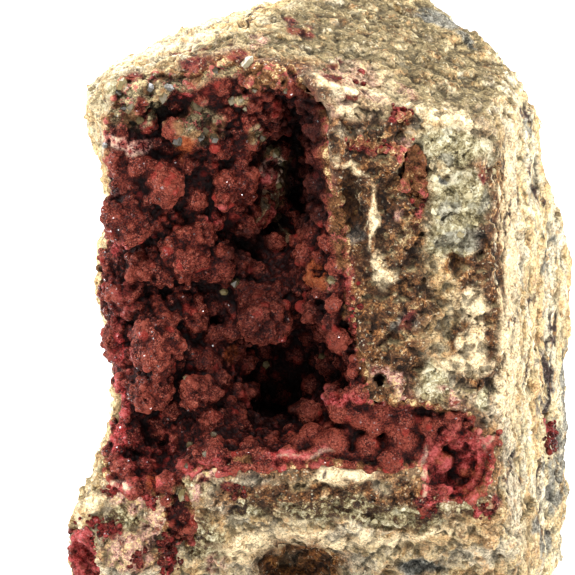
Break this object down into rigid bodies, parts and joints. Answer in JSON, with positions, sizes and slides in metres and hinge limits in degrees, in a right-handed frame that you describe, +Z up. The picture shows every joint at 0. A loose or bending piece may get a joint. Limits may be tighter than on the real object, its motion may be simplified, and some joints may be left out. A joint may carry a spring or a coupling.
{
  "type": "mineral specimen",
  "caption": "Standing block of layered vein rock whose front opens into a hollow lined with dark red balls of roselite crystals, with small red crusts in pits at its foot, rim and side.",
  "frame": {"origin": "middle of the flat face that the stone stands on, under the middle of its bounding box", "axes": "+Z up, the hollow faces -Y, +X to the right as seen from the front"},
  "size_m": [0.0534, 0.042, 0.0644],
  "materials": {
    "rock": "rough broken rock, cream to brown, with grey-green glassy quartz",
    "roselite": "crystalline crust, dark red, glinting"
  },
  "bodies": {
    "root": {"matrix": "rock", "main_crust": "roselite", "foot_crust": "roselite", "rim_crust": "roselite", "side_crust": "roselite"}
  },
  "joints": []
}
